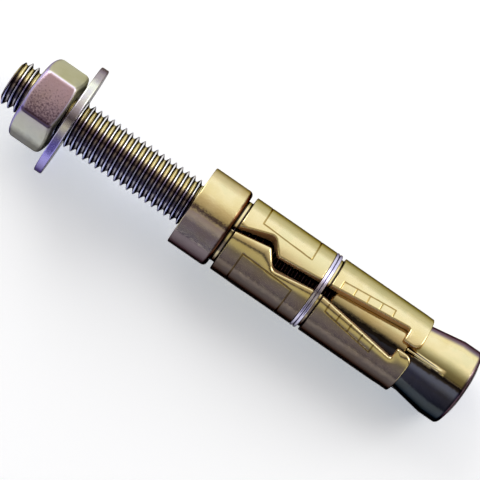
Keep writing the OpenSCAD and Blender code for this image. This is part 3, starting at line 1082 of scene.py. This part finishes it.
def nut_plate():
    """Olive, with a speckled top face under a rose painted reflection, painted highlights on the bevels
    beside it, a bluish painted reflection on the outer end's bevel, painted shade on the lower bevel,
    and painted light and shade along Y.
    """
    zinc = plated("nut_zinc", OLIVE, roughness=0.4, grain=0.3)
    # Painted highlight on the bevels beside the top face, and a rose painted reflection on the top face.
    tint(zinc, facing(zinc, "Z", start=0.5, stop=1.0),
         ((0.4, PLAIN), (0.6, BEVEL_HIGHLIGHT), (0.8, BEVEL_HIGHLIGHT), (0.92, ROSE_REFLECTION)))
    # Bluish painted reflection on the bevel of the outer end.
    tint(zinc, facing(zinc, "X", start=-0.3, stop=-1.0), band(0.0, 0.5, 0.85, 0.96, END_BEVEL_REFLECTION))
    # Speckle on the top face, with painted shade that grows towards -Y.
    tint(zinc, along(zinc, "Y", start=8, stop=-10, ragged=14, grain=2200),
         ((0.42, PLAIN), (0.75, SPECKLE)), facing(zinc, "Z", start=0.96, stop=0.99))
    # Painted shade on the lower bevel.
    tint(zinc, along(zinc, "Y", start=-6.4, stop=-4.4, ragged=0.2),
         band(0.15, 0.3, 0.75, 0.95, LOWER_BEVEL_SHADE), facing(zinc, "Z", start=0.55, stop=0.7))
    # Painted light and shade along Y.
    tint(zinc, along(zinc, "Y", start=-11, stop=11, ragged=0.4), NUT_LIGHT_AND_SHADE)
    return zinc


def washer_plate():
    """Silver, with a rim under painted light and shade: a blue painted reflection towards -Y, a painted
    shadow of the nut at its middle and a painted highlight towards +Y.
    """
    zinc = plated("washer_zinc", SILVER, roughness=0.26, grain=0.2)
    # Painted light and shade on the rim.
    tint(zinc, along(zinc, "Y", start=-14, stop=14, ragged=0.4), WASHER_RIM_LIGHT_AND_SHADE,
         from_axis(zinc, WASHER_D / 2 - RIM_TINT_START, WASHER_D / 2 - RIM_TINT_FULL))
    return zinc


# Pieces

points, faces = stud_shape()
add_piece("threaded_stud", points, faces, "bolt", stud_plate(), "stud")

points, faces, normals = nut_shape()
add_piece("hex_nut", points, faces, "nut", nut_plate(), "nut", normals)

points, faces = washer_shape()
add_piece("flat_washer", points, faces, "washer", washer_plate(), "washer")

points, faces = ferrule_shape()
add_piece("ferrule_collar", points, faces, "shield", ferrule_plate(), "ferrule")

shield_zinc = shield_plate()
points, faces, normals = segment_shape()
marks = stamp_cut(points[:, 0], angle_of(points) * SHIELD_R) / STAMP_DEPTH
for number in range(SEGMENTS):
    turn = number * SEGMENT_ANGLE
    name = f"segment_{number + 1}"
    add_piece(f"shield_{name}", around(points, turn), faces, name, shield_zinc, name,
              around(normals, turn), marks)

ring_wire = plated("ring_wire", BLUE_STEEL, roughness=0.2, grain=0.04)
for number in range(SEGMENTS):
    points, faces = ring_arc_shape(number)
    name = f"segment_{number + 1}"
    add_piece(f"ring_arc_{number + 1}", points, faces, name, ring_wire, "retaining_ring")

points, faces, normals = expander_shape()
add_piece("coned_expander", points, faces, "bolt", expander_plate(), "expander", normals)

# Floor, camera and light, in metres

FLOOR_HALF = 6.0
PAPER = (0.96, 0.96, 0.95)
PAPER_GLOW = (0.3, 0.34, 0.4)

IMAGE_TURN = math.radians(34.63)
VIEW_ROLL = math.radians(7.6)
VIEW_DISTANCE = 0.5
VIEW_WIDTH = 0.1111
EYE_X = 0.0055
CENTRE = (0.0138, -0.0005)
SENSOR_WIDTH = 36

SKY = (
    (0.0, (0.20, 0.18, 0.28)),
    (0.13, (0.13, 0.115, 0.15)),
    (0.24, (0.48, 0.44, 0.31)),
    (0.37, (0.50, 0.44, 0.30)),
    (0.40, (0.05, 0.04, 0.05)),
    (0.465, (0.04, 0.03, 0.04)),
    (0.50, (0.35, 0.29, 0.22)),
    (0.70, (0.62, 0.53, 0.45)),
    (0.83, (1.0, 0.97, 0.95)),
    (1.0, (1.1, 1.13, 1.25)),
)
SOFTBOX_LEVEL = 2.8
SOFTBOX_SIZE = (0.35, 0.5)
SOFTBOX_PLACE = (0.45, 0.42, 0.36)

lengthways = Vector((1, 0, 0))
sideways = Vector((0, math.cos(VIEW_ROLL), math.sin(VIEW_ROLL)))
towards = Vector((0, -math.sin(VIEW_ROLL), math.cos(VIEW_ROLL)))
target = lengthways * CENTRE[0] + sideways * CENTRE[1]


def paper_material():
    """Matt paper that glows a little towards the camera and in reflections, so that it looks white."""
    paper = bpy.data.materials.new("paper")
    paper.use_nodes = True
    tree = paper.node_tree
    shader = tree.nodes["Principled BSDF"]
    shader.inputs["Base Color"].default_value = (*PAPER, 1)
    shader.inputs["Roughness"].default_value = 1
    shader.inputs["Specular IOR Level"].default_value = 0
    shader.inputs["Emission Color"].default_value = (*PAPER_GLOW, 1)
    ray = tree.nodes.new("ShaderNodeLightPath")
    seen = ray.outputs["Is Camera Ray"]
    for kind in ("Is Glossy Ray", "Is Transmission Ray"):
        seen = combined(tree, "ADD", seen, ray.outputs[kind])
    tree.links.new(seen, shader.inputs["Emission Strength"])
    return paper


def add_floor():
    """A sheet of paper that the washer's rim and the expander's rim rest on."""
    lowest = min((v.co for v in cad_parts["washer"].data.vertices), key=lambda co: co.z)
    rim = [v.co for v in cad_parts["expander"].data.vertices]
    slope = min((co.z - lowest.z) / (co.x - lowest.x) for co in rim)
    corners = []
    for x, y in ((-1, -1), (1, -1), (1, 1), (-1, 1)):
        corners.append((x * FLOOR_HALF, y * FLOOR_HALF, lowest.z + slope * (x * FLOOR_HALF - lowest.x)))
    mesh = bpy.data.meshes.new("floor")
    mesh.from_pydata(corners, [], [(0, 1, 2, 3)])
    mesh.materials.append(paper_material())
    floor = bpy.data.objects.new("floor", mesh)
    bpy.context.scene.collection.objects.link(floor)


def add_camera():
    """A long lens above the bolt, turned so that the bolt lies aslant in the picture."""
    location = lengthways * EYE_X + towards * VIEW_DISTANCE
    back = (location - target).normalized()
    right = lengthways * math.cos(IMAGE_TURN) + sideways * math.sin(IMAGE_TURN)
    up = back.cross(right).normalized()
    right = up.cross(back)
    data = bpy.data.cameras.new("camera")
    data.sensor_width = SENSOR_WIDTH
    data.lens = SENSOR_WIDTH * (location - target).length / VIEW_WIDTH
    camera = bpy.data.objects.new("camera", data)
    camera.matrix_world = Matrix.Translation(location) @ Matrix((right, up, back)).transposed().to_4x4()
    bpy.context.scene.collection.objects.link(camera)
    bpy.context.scene.camera = camera


def add_sky():
    """Studio surroundings that change from -Y to +Y."""
    world = bpy.data.worlds.new("studio")
    bpy.context.scene.world = world
    world.use_nodes = True
    tree = world.node_tree
    place = tree.nodes.new("ShaderNodeTexCoord")
    split = tree.nodes.new("ShaderNodeSeparateXYZ")
    tree.links.new(place.outputs["Generated"], split.inputs["Vector"])
    colour = colour_ramp(tree, span(tree, split.outputs["Y"], -1, 1), SKY)
    tree.links.new(colour, tree.nodes["Background"].inputs["Color"])


def add_softbox(side):
    """One of two softboxes that stand on the +Y side, towards an end of the bolt."""
    data = bpy.data.lights.new("softbox", "AREA")
    data.shape = "RECTANGLE"
    data.size, data.size_y = SOFTBOX_SIZE
    data.energy = SOFTBOX_LEVEL * math.pi * SOFTBOX_SIZE[0] * SOFTBOX_SIZE[1]
    lamp = bpy.data.objects.new("softbox", data)
    lamp.location = (CENTRE[0] + side * SOFTBOX_PLACE[0], SOFTBOX_PLACE[1], SOFTBOX_PLACE[2])
    lamp.rotation_euler = (target - lamp.location).to_track_quat("-Z", "Y").to_euler()
    bpy.context.scene.collection.objects.link(lamp)


add_floor()
add_camera()
add_sky()
for side in (-1, 1):
    add_softbox(side)

bpy.context.scene.view_settings.view_transform = "Standard"
